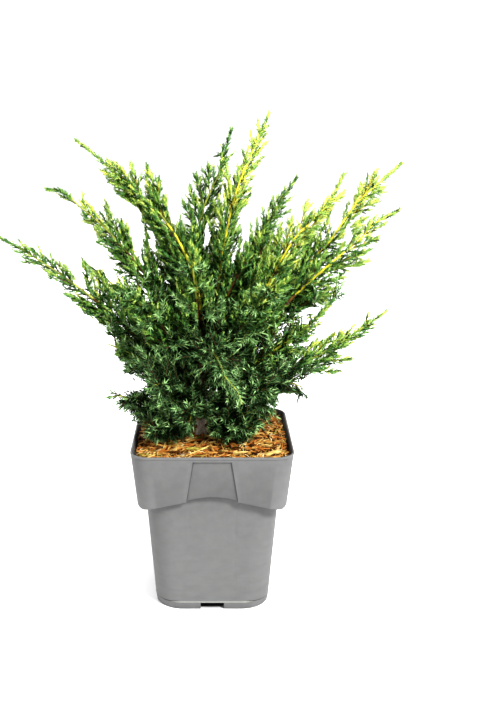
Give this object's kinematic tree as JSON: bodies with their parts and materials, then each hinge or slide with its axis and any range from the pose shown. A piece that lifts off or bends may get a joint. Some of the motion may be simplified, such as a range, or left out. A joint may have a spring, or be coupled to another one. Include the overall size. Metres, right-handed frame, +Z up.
{
  "type": "potted chinese juniper",
  "caption": "Young vase-shaped Chinese juniper with rising feathery plumes of blue-green foliage, in a square grey nursery pot with bark mulch.",
  "frame": {"origin": "centre of the pot's flat underside, on the surface that it stands on", "axes": "+Z up, along the plant's height; -Y is the side that the picture shows; +X to the right in the picture"},
  "size_m": [0.3675, 0.2243, 0.4552],
  "materials": {
    "pot_plastic": "matt grey recycled plastic, slightly mottled",
    "bark_mulch": "loose orange-brown bark chips and fibres over moist growing medium",
    "bark": "rough grey-brown bark, smoother and golden on young wood",
    "juniper_foliage": "blue-green scale and needle foliage with yellow-green tips"
  },
  "bodies": {
    "root": {"bough_back_high": "bark", "bough_back_left": "bark", "bough_back_left_high": "bark", "bough_back_middle": "bark", "bough_back_right": "bark", "bough_back_right_high": "bark", "bough_centre_right": "bark", "bough_far_left": "bark", "bough_far_right": "bark", "bough_far_right_high": "bark", "bough_front_droop": "bark", "bough_front_high": "bark", "bough_front_left": "bark", "bough_front_right": "bark", "bough_left_shoulder": "bark", "bough_low_right": "bark", "bough_right_shoulder": "bark", "bough_tall_centre": "bark", "bough_tall_right": "bark", "bough_upper_left": "bark", "foliage_back_high": "juniper_foliage", "foliage_back_left": "juniper_foliage", "foliage_back_left_high": "juniper_foliage", "foliage_back_low": "juniper_foliage", "foliage_back_low_left": "juniper_foliage", "foliage_back_low_right": "juniper_foliage", "foliage_back_middle": "juniper_foliage", "foliage_back_right": "juniper_foliage", "foliage_back_right_high": "juniper_foliage", "foliage_centre_right": "juniper_foliage", "foliage_far_left": "juniper_foliage", "foliage_far_right": "juniper_foliage", "foliage_far_right_high": "juniper_foliage", "foliage_front_droop": "juniper_foliage", "foliage_front_foot_left": "juniper_foliage", "foliage_front_foot_right": "juniper_foliage", "foliage_front_high": "juniper_foliage", "foliage_front_left": "juniper_foliage", "foliage_front_low": "juniper_foliage", "foliage_front_low_left": "juniper_foliage", "foliage_front_low_right": "juniper_foliage", "foliage_front_right": "juniper_foliage", "foliage_left_middle": "juniper_foliage", "foliage_left_shoulder": "juniper_foliage", "foliage_low_left": "juniper_foliage", "foliage_low_right": "juniper_foliage", "foliage_low_right_front": "juniper_foliage", "foliage_right_middle": "juniper_foliage", "foliage_right_shoulder": "juniper_foliage", "foliage_tall_centre": "juniper_foliage", "foliage_tall_right": "juniper_foliage", "foliage_upper_left": "juniper_foliage", "growing_medium": "bark_mulch", "pot": "pot_plastic", "trunk": "bark"}
  },
  "joints": []
}
